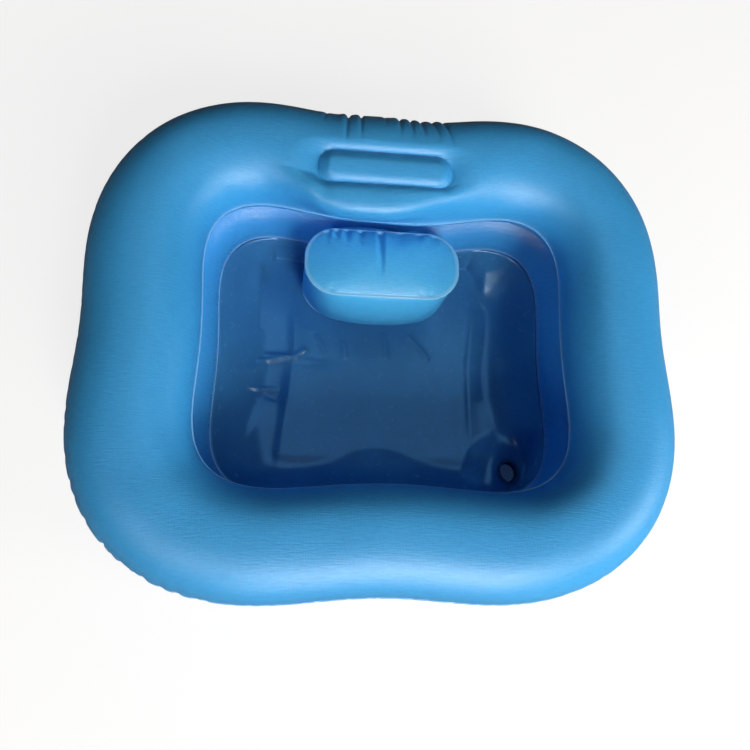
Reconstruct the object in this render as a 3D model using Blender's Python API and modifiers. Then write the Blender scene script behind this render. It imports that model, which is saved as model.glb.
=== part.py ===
"""Inflatable basin for washing hair: two stacked air rings, a slack floor, a raised pillow and a neck rest.

All lengths are in metres.  X runs across the basin, +Y points to the neck rest and +Z is up.
"""
import math

import bpy
import numpy as np
from mathutils import Matrix, Vector

# Film and welds
film = 0.0005
weld_gap = 0.0003
weld_fin = 0.003

# Mouth of the bowl, along the inner weld of the upper ring
mouth_width = 0.3884
mouth_depth = 0.3080
mouth_power_share = 3.85
waist_far_share = 0.206
waist_near_share = 0.1145
waist_side_share = 0.068

# Tubes of the two rings, from weld to weld
tube_width = 0.1098
tube_spread_left = 0.0039
tube_spread_far = 0.0038
corner_spread = 0.0055
neck_spread = 0.0060
neck_spread_reach = 0.110
upper_top_rise = 0.053
upper_bottom_drop = 0.0505
lower_rise = 0.0505
contact_band_share = 0.15

# The lower ring is a little larger inside and sits a little to the right and to the far side
lower_grow_x = 0.0044
lower_grow_y = 0.0100
lower_shift_x = 0.009
lower_shift_y = 0.009

# Neck rest: a stadium weld line that ties the top film down through a baffle
neck_x = -0.0065
neck_from_mouth = 0.0255
neck_y = mouth_depth / 2 + neck_from_mouth
neck_length = 0.145
neck_width = 0.0416
groove_depth = 0.010
lobe_bulge = 0.009
neck_fade = 0.020
baffle_clear = 0.0021

# Floor sheet
floor_level = 0.0010
floor_run = 0.058
floor_run_pillow = 0.0036
floor_past_pillow = 0.036
floor_fade_pillow = 0.020

# Pillow
# The pillow and what follows are placed from the middle of the mouth
pillow_top_width = 0.172
pillow_top_depth = 0.077
pillow_base_width = 0.180
pillow_base_depth = 0.062
pillow_top_x = 0.001
pillow_top_from_mouth = 0.0455
pillow_top_y = mouth_depth / 2 - pillow_top_from_mouth
pillow_base_x = 0.0034
pillow_base_from_mouth = 0.0487
pillow_base_y = mouth_depth / 2 - pillow_base_from_mouth
pillow_corner_radius = 0.034
pillow_fin = 0.002
pillow_height = 0.116
pillow_dome = 0.006
pillow_bulge = 0.014
pillow_end_bulge = 0.004
pillow_back_bulge = 0.005

# Drain
drain_from_right = 0.0253
drain_x = mouth_width / 2 - drain_from_right
drain_from_near = 0.0421
drain_y = drain_from_near - mouth_depth / 2
drain_level = 0.016
drain_lean_x_share = 0.30
drain_lean_y_share = 0.12
drain_flat_reach = 0.0220
drain_blend_reach = 0.038
collar_radius = 0.0158
collar_thick = 0.0015
sleeve_radius = 0.0137
sleeve_wall = 0.0012
sleeve_depth = 0.0025
cup_wall = 0.0012
cup_depth = 0.0060
outlet_bore = 0.0075
outlet_wall = 0.0014
outlet_length = 0.0040
stopper_radius = 0.0108
stopper_thick = 0.0022
stopper_tail = 0.0035

# Air valves
valve_base_radius = 0.012
valve_base_thick = 0.0012
valve_lift = 0.0006
stem_radius = 0.0040
stem_bore = 0.0026
stem_out = 0.0095
stem_in = 0.0140
lip_radius = 0.0052
lip_thick = 0.0012
cap_radius = 0.0056
cap_thick = 0.0014
cap_plug_depth = 0.0018
cap_plug_slack = 0.0005
strap_width = 0.0040
strap_thick = 0.0010
barrel_radius = 0.0006
lug_reach = 0.0080
flap_thick = 0.0006
flap_radius = 0.0036
slide_clearance = 0.0003
upper_valve_y = -0.070
lower_valve_y = 0.060
upper_valve_turn = math.radians(-32)
lower_valve_turn = math.radians(28)
pillow_valve_x = 0.020
pillow_valve_share = 0.835

# Fineness of the lofts
mouth_steps = 66
plain_steps = 42
plain_across = 4
floor_steps = 58
pillow_steps = 32
round_steps = 20
cutter_reach = 0.006
baffle_steps = 32


def clear_scene():
    for ob in list(bpy.data.objects):
        bpy.data.objects.remove(ob, do_unlink=True)


def material(name, colour, roughness):
    mat = bpy.data.materials.new(name)
    mat.use_nodes = True
    shader = mat.node_tree.nodes["Principled BSDF"]
    shader.inputs["Base Color"].default_value = (*colour, 1.0)
    shader.inputs["Roughness"].default_value = roughness
    return mat


def add_mesh(name, verts, faces, mat, matrix=None):
    mesh = bpy.data.meshes.new(name)
    mesh.from_pydata([tuple(v) for v in verts], [], faces)
    mesh.update()
    ob = bpy.data.objects.new(name, mesh)
    bpy.context.scene.collection.objects.link(ob)
    if mat is not None:
        mesh.materials.append(mat)
    if matrix is not None:
        ob.matrix_world = matrix
    for poly in mesh.polygons:
        poly.use_smooth = True
    return ob


def guide_collection():
    col = bpy.data.collections.get("cutters")
    if col is None:
        col = bpy.data.collections.new("cutters")
        bpy.context.scene.collection.children.link(col)
    return col


def cut_round(ob, matrix, radius, low, high):
    """Cut a round hole along the local Z of matrix."""
    ring = [(radius * math.cos(a), radius * math.sin(a)) for a in np.linspace(0, 2 * math.pi, round_steps + 1)[:-1]]
    verts = [(x, y, high) for x, y in ring] + [(x, y, low) for x, y in ring]
    n = round_steps
    faces = [tuple(range(n)), tuple(range(2 * n - 1, n - 1, -1))]
    faces += [(i, n + i, n + (i + 1) % n, (i + 1) % n) for i in range(n)]
    cutter = add_mesh(ob.name + "_hole", verts, faces, None, matrix)
    bpy.context.scene.collection.objects.unlink(cutter)
    guide_collection().objects.link(cutter)
    cutter.hide_render = True
    cutter.display_type = "WIRE"
    cut = ob.modifiers.new("hole", "BOOLEAN")
    cut.object = cutter
    cut.solver = "EXACT"


def loft(name, rows, mat, thickness, close_middle=False, matrix=None):
    """Skin closed rows of points into an open film and thicken it on its outer side."""
    n = len(rows[0])
    verts = [p for row in rows for p in row]
    faces = []
    for r in range(len(rows) - 1):
        for i in range(n):
            j = (i + 1) % n
            faces.append((r * n + i, r * n + j, (r + 1) * n + j, (r + 1) * n + i))
    if close_middle:
        faces.append(tuple((len(rows) - 1) * n + i for i in range(n)))
    ob = add_mesh(name, verts, faces, mat, matrix)
    solid = ob.modifiers.new("film", "SOLIDIFY")
    solid.thickness = abs(thickness)
    solid.offset = 1.0 if thickness > 0 else -1.0
    solid.use_even_offset = True
    return ob


def turned(name, profile, mat, matrix):
    """Turn a closed profile of (radius, height) points round the local Z of matrix."""
    verts = [(r, 0.0, z) for r, z in profile]
    n = len(verts)
    on_axis = profile[0][0] == 0.0
    edges = [(i, i + 1) for i in range(n - 1)]
    if not on_axis:
        edges.append((n - 1, 0))
    mesh = bpy.data.meshes.new(name)
    mesh.from_pydata(verts, edges, [])
    ob = bpy.data.objects.new(name, mesh)
    bpy.context.scene.collection.objects.link(ob)
    mesh.materials.append(mat)
    ob.matrix_world = matrix
    screw = ob.modifiers.new("turn", "SCREW")
    screw.steps = round_steps
    screw.render_steps = round_steps
    screw.use_merge_vertices = True
    screw.merge_threshold = 0.00001
    screw.use_normal_calculate = False
    screw.use_smooth_shade = True
    return ob


def outline(width, depth, centre, steps=1440):
    """A squarish oval drawn in at the middle of each side, fitted to its width and depth."""
    t = np.linspace(0, 2 * math.pi, steps, endpoint=False) + math.pi / steps
    c, s = np.cos(t), np.sin(t)
    power = 2 / mouth_power_share
    x = np.sign(c) * np.abs(c) ** power
    y = np.sign(s) * np.abs(s) ** power
    waist = np.where(y > 0, waist_far_share, waist_near_share)
    yy = y - waist * (1 - x ** 2) ** 2 * y ** 4 * np.sign(y)
    xx = x - waist_side_share * (1 - y ** 2) ** 2 * x ** 4 * np.sign(x)
    xx = (xx - (xx.max() + xx.min()) / 2) / (xx.max() - xx.min()) * width + centre[0]
    yy = (yy - (yy.max() + yy.min()) / 2) / (yy.max() - yy.min()) * depth + centre[1]
    return np.stack([xx, yy], 1)


def spaced(curve, count, density):
    """Walk round a closed curve in steps that shrink where density is high."""
    seg = np.roll(curve, -1, 0) - curve
    length = np.hypot(seg[:, 0], seg[:, 1])
    turn = np.arctan2(seg[:, 1], seg[:, 0])
    bend = np.abs((np.roll(turn, -1) - turn + math.pi) % (2 * math.pi) - math.pi)
    smooth = np.ones(41) / 41
    bend = np.convolve(np.r_[bend[-20:], bend, bend[:20]], smooth, "valid")
    weight = length / length.sum() + 0.9 * bend / bend.sum() + density(curve) * length
    total = np.r_[0, np.cumsum(weight)]
    want = np.linspace(0, total[-1], count, endpoint=False)
    closed = np.vstack([curve, curve[:1]])
    points = np.stack([np.interp(want, total, closed[:, k]) for k in (0, 1)], 1)
    return points


def outward(points):
    """Unit normals of a closed curve that runs anticlockwise."""
    along = np.roll(points, -1, 0) - np.roll(points, 1, 0)
    normal = np.stack([along[:, 1], -along[:, 0]], 1)
    return normal / np.hypot(normal[:, 0], normal[:, 1])[:, None]


def tube_spread(points, normal, at):
    """Width of the tube: wider to the left and the far side, at the near left corner and along the neck rest."""
    corner = np.clip(-0.8 * normal[:, 0] - 0.6 * normal[:, 1], 0, 1) ** 4
    away = np.clip(np.abs(points[:, 0] - at[0] - neck_x) / neck_spread_reach, 0, 1)
    neck = (1 - away ** 2) ** 2 * (points[:, 1] > at[1])
    lean = tube_spread_far * normal[:, 1] - tube_spread_left * normal[:, 0]
    return tube_width + lean + corner_spread * corner + neck_spread * neck


def box_centre():
    """Middle of both rings' outlines, so that the whole basin stands centred on the origin."""
    found = []
    for width, depth, centre in ring_plans((0.0, 0.0)):
        inner = outline(width, depth, centre)
        normal = outward(inner)
        found.append(inner + normal * (tube_spread(inner, normal, centre) + weld_fin)[:, None])
    every = np.vstack(found)
    middle = (every.max(0) + every.min(0)) / 2
    return float(middle[0]), float(middle[1])


def ring_plans(at):
    upper = (mouth_width, mouth_depth, at)
    lower_at = (at[0] + lower_shift_x, at[1] + lower_shift_y)
    lower = (mouth_width + lower_grow_x, mouth_depth + lower_grow_y, lower_at)
    return upper, lower


middle_x, middle_y = box_centre()
basin_at = (-middle_x, -middle_y)
lower_seam_level = film + lower_rise
ring_top_level = lower_seam_level + weld_gap / 2 + lower_rise + film
upper_seam_level = ring_top_level + weld_gap + film + upper_bottom_drop + weld_gap / 2


def section(share, band):
    """Height share of a half tube over its width share, with a flat contact band in the middle."""
    v = max(0.0, (abs(share) - band) / (1 - band))
    return math.sqrt(max(0.0, 1 - v * v))


def section_shares(quarter_steps, band):
    """Places across a half tube, from the inner weld to the outer weld, with the flat band between two of them."""
    side = [band + (1 - band) * math.cos(math.pi / 2 * k / quarter_steps) for k in range(quarter_steps + 1)]
    return [-c for c in side] + side[::-1]


def ring_sheet(name, plan, steps, shares, band, seam_level, rise, side, mat, density, neck=False):
    """One half of an air ring: an arched film between two flat weld fins."""
    inner = spaced(outline(*plan), steps, density)
    normal = outward(inner)
    width = tube_spread(inner, normal, plan[2])
    start = seam_level + side * weld_gap / 2
    rows = [[(*(p - q * weld_fin), start) for p, q in zip(inner, normal)]]
    for k, share in enumerate(shares):
        places = np.full(len(inner), share)
        pull = np.zeros(len(inner))
        if neck:
            places, pull, bulge = neck_places(k, inner, normal, width)
        reach = width * (1 + places) / 2
        if neck:
            reach = reach - bulge
        flat = inner + normal * reach[:, None]
        arch = np.array([section(s, band) for s in places])
        level = start + side * rise * arch - pull
        rows.append([(x, y, z) for (x, y), z in zip(flat, level)])
    edge = inner + normal * (width + weld_fin)[:, None]
    rows.append([(x, y, start) for x, y in edge])
    return loft(name, rows, mat, -film if side > 0 else film)


def neck_mask(x):
    """One over the neck rest, fading to nothing past its round ends."""
    past = np.abs(x - (basin_at[0] + neck_x)) - (neck_length / 2 - neck_fade / 2)
    t = np.clip(past / neck_fade, 0, 1)
    return 1 - t * t * (3 - 2 * t)


def neck_places(k, inner, normal, width):
    """Move the rows of the film onto the straight weld lines of the neck rest."""
    far_line = basin_at[1] + neck_y + neck_width / 2
    near_line = basin_at[1] + neck_y - neck_width / 2
    mask = neck_mask(inner[:, 0]) * (inner[:, 1] > basin_at[1])
    upright = np.where(mask > 0, normal[:, 1], 1.0)
    at_far = 2 * (far_line - inner[:, 1]) / (upright * width) - 1
    at_near = 2 * (near_line - inner[:, 1]) / (upright * width) - 1
    near_k, far_k = pull_shares.index(1.0), len(pull_shares) - 1 - pull_shares[::-1].index(1.0)
    known = [-1.0, top_shares[near_k], top_shares[far_k], 1.0]
    moved = [np.interp(top_shares[k], known, [-1.0, n, f, 1.0]) for n, f in zip(at_near, at_far)]
    places = top_shares[k] * (1 - mask) + np.array(moved) * mask
    return places, groove_depth * pull_shares[k] * mask, lobe_bulge * bulge_shares[k] * mask


def near_neck(points):
    side = points[:, 1] > basin_at[1]
    x = np.abs(points[:, 0] - basin_at[0] - neck_x)
    return np.where(side & (x < (neck_length + neck_fade) / 2), 2.6, 0.0)


def no_density(points):
    return np.zeros(len(points))


# Places across the upper film and how deep the neck weld pulls each one, as shares
top_shares = (-1.0, -0.97, -0.86, -0.68, -0.52, -0.35, -0.17, 0.0, 0.16, 0.36, 0.58, 0.78, 0.92, 0.985, 1.0)
pull_shares = (0.0, 0.0, 0.10, 1.0, 0.55, 0.40, 0.60, 1.0, 0.25, 0.0, 0.0, 0.0, 0.0, 0.0, 0.0)
bulge_shares = (0.0, 0.55, 1.0, 0.0, 0.0, 0.0, 0.0, 0.0, 0.0, 0.0, 0.0, 0.0, 0.0, 0.0, 0.0)


def build_rings(mat_top, mat_film):
    upper, lower = ring_plans(basin_at)
    plain = section_shares(plain_across, contact_band_share)
    made = {}
    made["upper_top"] = ring_sheet("upper_ring_top_sheet", upper, mouth_steps, top_shares, 0.0, upper_seam_level,
                                   upper_top_rise, 1, mat_top, near_neck, neck=True)
    made["upper_bottom"] = ring_sheet("upper_ring_bottom_sheet", upper, plain_steps, plain, contact_band_share,
                                      upper_seam_level, upper_bottom_drop, -1, mat_film, no_density)
    made["lower_top"] = ring_sheet("lower_ring_top_sheet", lower, plain_steps, plain, contact_band_share,
                                   lower_seam_level, lower_rise, 1, mat_film, no_density)
    made["lower_bottom"] = ring_sheet("lower_ring_bottom_sheet", lower, plain_steps, plain, contact_band_share,
                                      lower_seam_level, lower_rise - weld_gap / 2, -1, mat_film, no_density)
    return made


def across(plan, x, y):
    """Distance outward from the inner weld, and the tube's width there, for a point in plan."""
    inner = outline(*plan)
    k = int(np.argmin(np.hypot(inner[:, 0] - x, inner[:, 1] - y)))
    normal = outward(inner)
    reach = (x - inner[k, 0]) * normal[k, 0] + (y - inner[k, 1]) * normal[k, 1]
    return reach, float(tube_spread(inner, normal, plan[2])[k])


def stadium(width, depth, radius, centre, steps):
    """Points round a box with round corners, equally spaced, starting on its right side."""
    corners = [(1, 1, 0), (-1, 1, 1), (-1, -1, 2), (1, -1, 3)]
    dense = []
    for sx, sy, quarter in corners:
        middle = (sx * (width / 2 - radius), sy * (depth / 2 - radius))
        for a in np.linspace(quarter * math.pi / 2, (quarter + 1) * math.pi / 2, steps):
            dense.append((middle[0] + radius * math.cos(a), middle[1] + radius * math.sin(a)))
    dense = np.array(dense)
    closed = np.vstack([dense, dense[:1]])
    total = np.r_[0, np.cumsum(np.hypot(*np.diff(closed, axis=0).T))]
    want = (np.arange(steps) + 0.5) / steps * total[-1]
    return np.stack([np.interp(want, total, closed[:, k]) + centre[k] for k in (0, 1)], 1)


def build_baffle(mat):
    """The web inside the upper ring that holds the neck weld down."""
    upper = ring_plans(basin_at)[0]
    inset = film + weld_gap
    points = stadium(neck_length - inset, neck_width - inset, (neck_width - inset) / 2,
                     (basin_at[0] + neck_x, basin_at[1] + neck_y), baffle_steps)
    tops, feet = [], []
    for x, y in points:
        reach, width = across(upper, x, y)
        share = 2 * reach / width - 1
        top = upper_seam_level + upper_top_rise * section(share, 0.0) - groove_depth - baffle_clear
        foot = upper_seam_level - upper_bottom_drop * section(share, contact_band_share) + baffle_clear
        tops.append((x, y, top))
        feet.append((x, y, foot))
    return loft("neck_rest_baffle", [tops, feet], mat, film)


def drain_plane(x, y):
    """Level of the leaning flat that carries the drain."""
    return drain_level - drain_lean_x_share * (x - basin_at[0] - drain_x) - drain_lean_y_share * (y - basin_at[1] - drain_y)


def floor_height(x, y, t, start):
    level = floor_level + (start - floor_level) * (1 - min(1.0, t)) ** 1.8
    away = math.hypot(x - basin_at[0] - drain_x, y - basin_at[1] - drain_y)
    w = min(1.0, max(0.0, (drain_blend_reach - away) / (drain_blend_reach - drain_flat_reach)))
    w = w * w * (3 - 2 * w)
    return level * (1 - w) + drain_plane(x, y) * w


def floor_near_drain(points):
    away = np.hypot(points[:, 0] - basin_at[0] - drain_x, points[:, 1] - basin_at[1] - drain_y)
    return np.where(away < 1.5 * drain_blend_reach, 6.0, 0.0)


# Rows of the floor from the weld to the middle, as shares of the floor run, then of the way left
run_shares = (0.06, 0.15, 0.25, 0.36, 0.48, 0.62, 0.80, 1.0)
middle_shares = (0.22, 0.55)


def build_floor(mat):
    lower = ring_plans(basin_at)[1]
    seam = spaced(outline(*lower), floor_steps, floor_near_drain)
    normal = outward(seam)
    start = lower_seam_level - weld_gap / 2 - film - weld_gap
    clear = film + 2 * weld_gap
    rows = [[(*(p - q * clear), start) for p, q in zip(seam, normal)]]
    rows.append([(*(p - q * weld_fin), start) for p, q in zip(seam, normal)])
    centre = np.array(lower[2])
    edge = seam - normal * weld_fin
    ray = centre - edge
    far = np.hypot(ray[:, 0], ray[:, 1])
    past = np.abs(seam[:, 0] - basin_at[0] - pillow_base_x) - pillow_base_width / 2 - floor_past_pillow
    behind = np.clip(1 - past / floor_fade_pillow, 0, 1)
    behind = behind * (seam[:, 1] > basin_at[1])
    run = floor_run * (1 - behind) + floor_run_pillow * behind
    for share in run_shares:
        points = edge + ray * (share * floor_run / far)[:, None]
        rows.append([(x, y, floor_height(x, y, share * floor_run / r, start)) for (x, y), r in zip(points, run)])
    for share in middle_shares:
        points = edge + ray * (floor_run / far + share * (1 - floor_run / far))[:, None]
        rows.append([(x, y, floor_height(x, y, 1.0, start)) for x, y in points])
    floor = loft("floor_sheet", rows, mat, -film, close_middle=True)
    cut_round(floor, drain_matrix(), sleeve_radius + weld_gap, -cutter_reach, cutter_reach)
    return floor


def pillow_outline(share):
    """Outline of the pillow at a share of its height, from its base to its top."""
    base = stadium(pillow_base_width, pillow_base_depth, min(pillow_corner_radius, pillow_base_depth / 2 - film),
                   (basin_at[0] + pillow_base_x, basin_at[1] + pillow_base_y), pillow_steps)
    top = stadium(pillow_top_width, pillow_top_depth, pillow_corner_radius,
                  (basin_at[0] + pillow_top_x, basin_at[1] + pillow_top_y), pillow_steps)
    points = base * (1 - share) + top * share
    normal = outward(points)
    front = np.clip(-normal[:, 1], 0, 1)
    back = np.clip(normal[:, 1], 0, 1)
    bulge = pillow_end_bulge + (pillow_bulge - pillow_end_bulge) * front ** 2
    bulge = bulge + (pillow_back_bulge - pillow_end_bulge) * back ** 2
    return points + normal * (bulge * math.sin(math.pi * share))[:, None], normal


def pillow_level(share):
    return floor_level + weld_gap + film + weld_gap + pillow_height * share


band_shares = (0.0, 0.08, 0.22, 0.40, 0.60, 0.78, 0.92, 1.0)
dome_shares = (1.0, 0.93, 0.80, 0.60, 0.35)


def build_pillow(mat_top, mat_side):
    rows = []
    for share in band_shares:
        points, normal = pillow_outline(share)
        level = pillow_level(share)
        if share == 0.0:
            rows.append([(x, y, level) for x, y in points + normal * pillow_fin])
        rows.append([(x, y, level) for x, y in points])
        if share == 1.0:
            rows.append([(x, y, level) for x, y in points + normal * pillow_fin])
    band = loft("pillow_side_band", rows, mat_side, film)
    points, normal = pillow_outline(0.0)
    base_level = floor_level + weld_gap
    rows = [[(x, y, base_level) for x, y in points + normal * pillow_fin], [(x, y, base_level) for x, y in points]]
    base = loft("pillow_base_panel", rows, mat_side, film, close_middle=True)
    points, normal = pillow_outline(1.0)
    level = pillow_level(1.0) + weld_gap + film
    centre = points.mean(0)
    rows = [[(x, y, level) for x, y in points + normal * pillow_fin]]
    for share in dome_shares:
        up = level + pillow_dome * (1 - share ** 2.5)
        rows.append([(x, y, up) for x, y in centre + (points - centre) * share])
    top = loft("pillow_top_panel", rows, mat_top, -film, close_middle=True)
    return base, band, top


def frame_matrix(at, out, along):
    """Local frame with Z along out, X as near as it can be to along, and its origin at a point."""
    z = Vector(out).normalized()
    x = (Vector(along) - z * Vector(along).dot(z)).normalized()
    y = z.cross(x)
    return Matrix(((x.x, y.x, z.x, at[0]), (x.y, y.y, z.y, at[1]), (x.z, y.z, z.z, at[2]), (0, 0, 0, 1)))


def drain_matrix():
    at = (basin_at[0] + drain_x, basin_at[1] + drain_y, drain_level)
    return frame_matrix(at, (drain_lean_x_share, drain_lean_y_share, 1.0), (1.0, 0.0, 0.0))


def build_drain(mat_ring, mat_dark, mat_plug):
    place = drain_matrix()
    inner = sleeve_radius - sleeve_wall
    low, high = weld_gap, weld_gap + collar_thick
    ring = [(inner, high), (collar_radius, high), (collar_radius, low), (sleeve_radius, low),
            (sleeve_radius, -film - sleeve_depth), (inner, -film - sleeve_depth)]
    turned("drain_ring", ring, mat_ring, place)
    cup = sleeve_radius + weld_gap
    top = -film - weld_gap
    floor = -cup_depth
    tail = floor - cup_wall - outlet_length
    outer = outlet_bore + outlet_wall
    body = [(cup, top), (collar_radius, top), (collar_radius, top - cup_wall), (cup + cup_wall, top - cup_wall),
            (cup + cup_wall, floor - cup_wall), (outer, floor - cup_wall), (outer, tail), (outlet_bore, tail),
            (outlet_bore, floor), (cup, floor)]
    turned("drain_outlet", body, mat_dark, place)
    seat = floor + weld_gap
    plug = outlet_bore - weld_gap
    stopper = [(0.0, seat + stopper_thick), (stopper_radius, seat + stopper_thick), (stopper_radius, seat),
               (plug, seat), (plug, seat - stopper_tail), (0.0, seat - stopper_tail)]
    turned("drain_stopper", stopper, mat_plug, place)


def box_cutter(name, low, high, matrix):
    (x0, y0, z0), (x1, y1, z1) = low, high
    verts = [(x, y, z) for z in (z0, z1) for y in (y0, y1) for x in (x0, x1)]
    faces = [(0, 2, 3, 1), (4, 5, 7, 6), (0, 1, 5, 4), (2, 6, 7, 3), (0, 4, 6, 2), (1, 3, 7, 5)]
    ob = add_mesh(name, verts, faces, None, matrix)
    bpy.context.scene.collection.objects.unlink(ob)
    guide_collection().objects.link(ob)
    ob.hide_render = True
    ob.display_type = "WIRE"
    return ob


def join_solid(ob, other):
    union = ob.modifiers.new("join", "BOOLEAN")
    union.operation = "UNION"
    union.object = other
    union.solver = "EXACT"


def hinge_reach():
    return lug_reach + weld_gap + barrel_radius


def strap_solid(name, matrix):
    """Side outline of the strap, from the cap to the round end at its hinge, pushed out to its width."""
    bottom = weld_gap
    top = weld_gap + strap_thick
    reach = hinge_reach()
    axis = -barrel_radius
    half = strap_width / 2
    side = [(cap_radius / 2, bottom), (cap_radius / 2, top), (reach + barrel_radius, top)]
    for a in np.linspace(0, -math.pi, 7):
        side.append((reach + barrel_radius * math.cos(a), axis + barrel_radius * math.sin(a)))
    side.append((reach - barrel_radius, bottom))
    n = len(side)
    verts = [(x, -half, stem_out + z) for x, z in side] + [(x, half, stem_out + z) for x, z in side]
    faces = [tuple(range(n - 1, -1, -1)), tuple(range(n, 2 * n))]
    faces += [(i, (i + 1) % n, n + (i + 1) % n, n + i) for i in range(n)]
    ob = add_mesh(name, verts, faces, None, matrix)
    bpy.context.scene.collection.objects.unlink(ob)
    guide_collection().objects.link(ob)
    ob.hide_render = True
    ob.display_type = "WIRE"
    return ob


def hang_on(ob, place, reach, level):
    """Put a swinging piece under an empty that stands on its hinge line."""
    bpy.context.view_layer.update()
    pivot = bpy.data.objects.new(ob.name + "_hinge", None)
    bpy.context.scene.collection.objects.link(pivot)
    pivot.empty_display_size = cap_radius
    pivot.matrix_world = place @ Matrix.Translation((reach, 0.0, level))
    bpy.context.view_layer.update()
    ob.parent = pivot
    ob.matrix_parent_inverse = pivot.matrix_world.inverted()


def build_valve(label, place, mat_base, mat_stem, mat_cap):
    """Push-in air valve: welded base, stem with a lip, hinged cap and the check flap inside."""
    low = 0.0
    high = valve_base_thick
    base = [(stem_radius + slide_clearance, high), (valve_base_radius, high * 0.6), (valve_base_radius, low),
            (stem_radius + slide_clearance, low)]
    turned(label + "_valve_base", base, mat_base, place)
    stem = [(stem_bore, stem_out), (lip_radius, stem_out), (lip_radius, stem_out - lip_thick),
            (stem_radius, stem_out - lip_thick), (stem_radius, -stem_in), (stem_bore, -stem_in)]
    ob = turned(label + "_valve_stem", stem, mat_stem, place)
    half = strap_width / 2
    lug = box_cutter(label + "_lug", ((stem_radius + stem_bore) / 2, -half, stem_out - lip_thick),
                     (lug_reach, half, stem_out), place)
    join_solid(ob, lug)
    under = barrel_radius + weld_gap
    plug = stem_bore - cap_plug_slack
    cap = [(0.0, under + cap_thick), (cap_radius, under + cap_thick), (cap_radius, under), (plug, under),
           (plug, under - cap_plug_depth), (0.0, under - cap_plug_depth)]
    cap_ob = turned(label + "_valve_cap", cap, mat_cap, place @ Matrix.Translation((0.0, 0.0, stem_out - barrel_radius)))
    join_solid(cap_ob, strap_solid(label + "_strap", place))
    hang_on(cap_ob, place, hinge_reach(), stem_out - barrel_radius)
    flap_at = place @ Matrix.Translation((0.0, 0.0, -stem_in - weld_gap))
    flap = [(0.0, 0.0), (flap_radius, 0.0), (flap_radius, -flap_thick), (0.0, -flap_thick)]
    flap_ob = turned(label + "_valve_flap", flap, mat_cap, flap_at)
    hang_on(flap_ob, place, flap_radius + weld_gap, -stem_in - weld_gap - flap_thick / 2)


def valve_place_on_ring(plan, y, turn, seam_level, rise, side):
    """Frame on the outside of a ring, at a place along its right side and a turn above its weld."""
    inner = outline(*plan)
    normal = outward(inner)
    right = np.where(inner[:, 0] > basin_at[0], np.abs(inner[:, 1] - basin_at[1] - y), 1.0)
    k = int(np.argmin(right))
    width = float(tube_spread(inner, normal, plan[2])[k])
    share = contact_band_share + (1 - contact_band_share) * math.cos(turn)
    flat = inner[k] + normal[k] * width * (1 + share) / 2
    at = Vector((flat[0], flat[1], seam_level + rise * math.sin(turn)))
    half = width / 2 * (1 - contact_band_share)
    out = Vector((normal[k][0] * math.cos(turn) / half, normal[k][1] * math.cos(turn) / half, math.sin(turn) / rise))
    out.normalize()
    return frame_matrix(at + out * (film + valve_lift), out, (0.0, 1.0, 0.0))


def build_valves(rings, band, mat_base, mat_stem, mat_cap):
    upper, lower = ring_plans(basin_at)
    places = {}
    places["upper_ring"] = valve_place_on_ring(upper, upper_valve_y, upper_valve_turn, upper_seam_level, upper_bottom_drop, -1)
    places["lower_ring"] = valve_place_on_ring(lower, lower_valve_y, lower_valve_turn, lower_seam_level, lower_rise, 1)
    points, normal = pillow_outline(pillow_valve_share)
    back = [p for p, q in zip(points, normal) if q[1] > 0.9]
    at = min(back, key=lambda p: abs(p[0] - basin_at[0] - pillow_valve_x))
    level = pillow_level(pillow_valve_share)
    places["pillow"] = frame_matrix((at[0], at[1] + film + valve_lift, level), (0.0, 1.0, 0.0), (1.0, 0.0, 0.0))
    films = {"upper_ring": rings["upper_bottom"], "lower_ring": rings["lower_top"], "pillow": band}
    for label, place in places.items():
        build_valve(label, place, mat_base, mat_stem, mat_cap)
        cut_round(films[label], place, stem_radius + 2 * slide_clearance, -cutter_reach, cutter_reach)


def main():
    clear_scene()
    rim = material("rim_film", (0.055, 0.28, 0.60), 0.42)
    wall = material("wall_film", (0.035, 0.20, 0.50), 0.35)
    floor_film = material("floor_film", (0.03, 0.13, 0.30), 0.2)
    fitting = material("fitting", (0.05, 0.09, 0.13), 0.4)
    plug = material("stopper", (0.10, 0.12, 0.16), 0.5)
    clear = material("valve_vinyl", (0.16, 0.40, 0.66), 0.3)
    rings = build_rings(rim, wall)
    build_baffle(wall)
    build_floor(floor_film)
    base, band, top = build_pillow(rim, wall)
    build_drain(fitting, fitting, plug)
    build_valves(rings, band, clear, clear, clear)


main()
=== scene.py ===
"""Portable shampoo basin: two stacked air rings of blue vinyl film round a slack drained floor."""

import math

import bpy
import numpy as np
from mathutils import Matrix


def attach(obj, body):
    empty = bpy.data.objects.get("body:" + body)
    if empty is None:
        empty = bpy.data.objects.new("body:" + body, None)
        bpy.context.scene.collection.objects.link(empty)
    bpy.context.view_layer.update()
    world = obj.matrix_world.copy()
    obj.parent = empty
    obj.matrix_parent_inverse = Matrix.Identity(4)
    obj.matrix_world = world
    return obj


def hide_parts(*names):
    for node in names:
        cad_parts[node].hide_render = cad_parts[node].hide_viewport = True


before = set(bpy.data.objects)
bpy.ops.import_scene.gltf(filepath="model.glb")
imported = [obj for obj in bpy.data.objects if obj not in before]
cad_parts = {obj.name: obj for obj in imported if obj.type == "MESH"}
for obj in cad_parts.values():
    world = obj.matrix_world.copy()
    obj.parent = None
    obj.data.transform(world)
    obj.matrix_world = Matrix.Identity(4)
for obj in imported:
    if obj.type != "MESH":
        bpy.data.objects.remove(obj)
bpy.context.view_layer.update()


# Upper ring: the rim that the neck lies on. Two sheets of embossed vinyl, heat-welded along an inner
# and an outer line and blown up, so the tube swells between two narrow weld fins and the film puckers
# where the flat sheet is too long for the weld. The neck rest is a stadium weld down to an inner web.
mouth_middle = np.array([-0.000578, -0.010408])
mouth_width, mouth_depth = 0.3884, 0.3080
film = 0.0005
fin_reach = 0.0011
fin_half = 0.00055
contact_band = 0.15
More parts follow.
